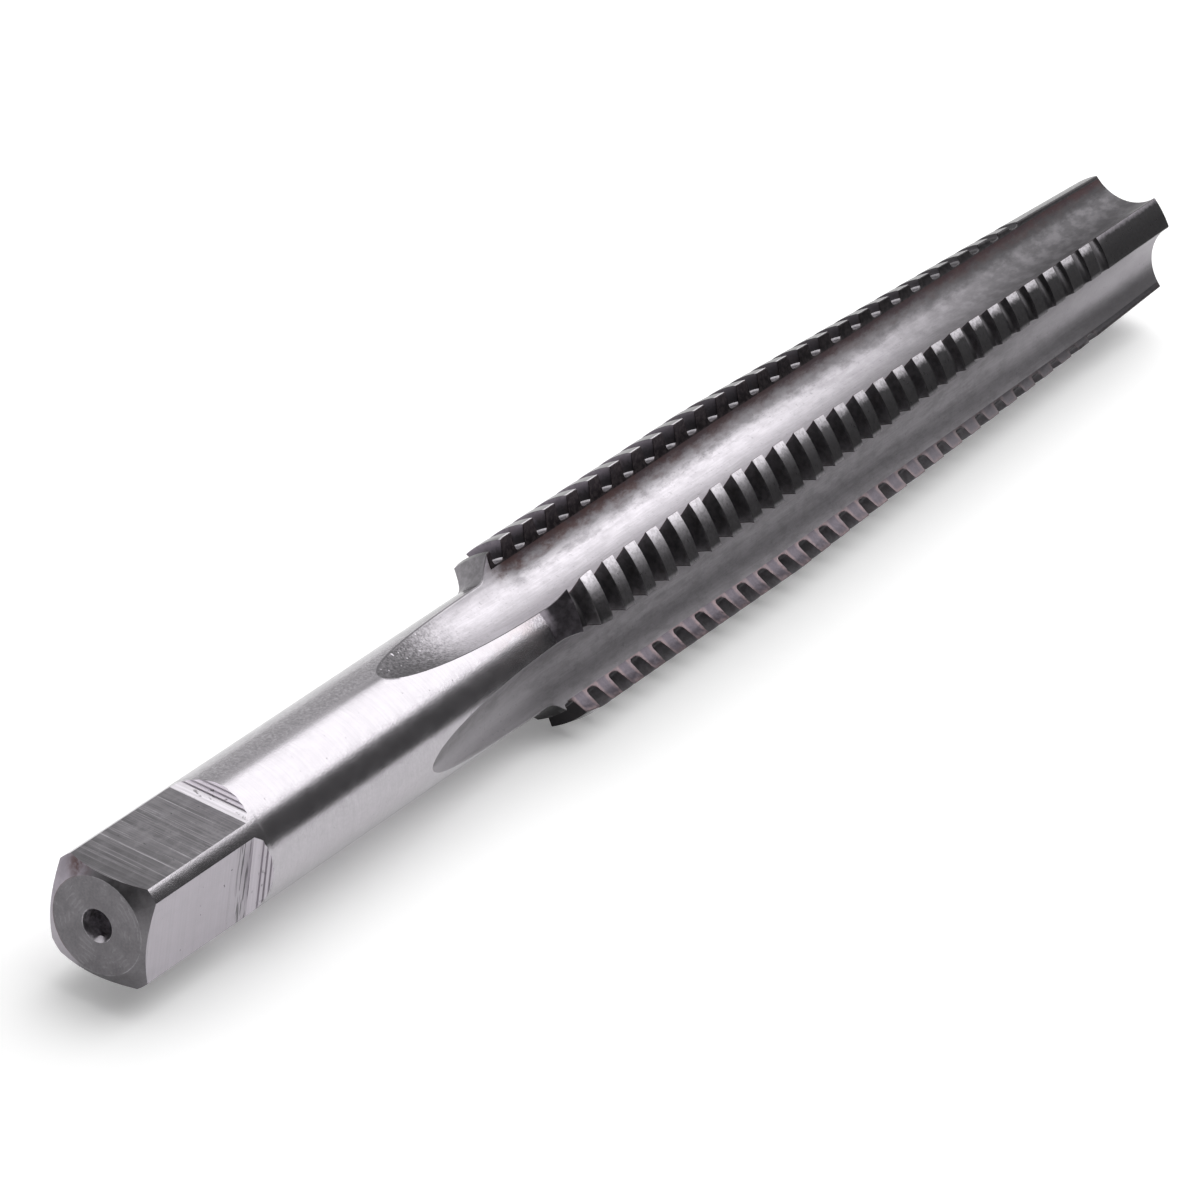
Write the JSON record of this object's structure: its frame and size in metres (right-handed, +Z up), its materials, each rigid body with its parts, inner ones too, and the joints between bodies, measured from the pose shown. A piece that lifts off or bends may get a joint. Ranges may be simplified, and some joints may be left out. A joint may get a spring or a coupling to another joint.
{
  "type": "trapezoidal thread tap",
  "caption": "Long fluted hand tap that cuts a trapezoidal thread, with a tapered threaded body, a round shank and a square drive end.",
  "frame": {"origin": "on the tool's axis at its drive end face, at the mouth of the centre hole", "axes": "+X along the tool's axis from the drive end to the cutting tip; +Z up through a drive flat and a flute, as the tool lies at rest"},
  "size_m": [0.121, 0.0116, 0.0116],
  "materials": {
    "tool_steel": "ground tool steel, darkened in the thread"
  },
  "bodies": {
    "root": {"tap": "tool_steel"}
  },
  "joints": []
}
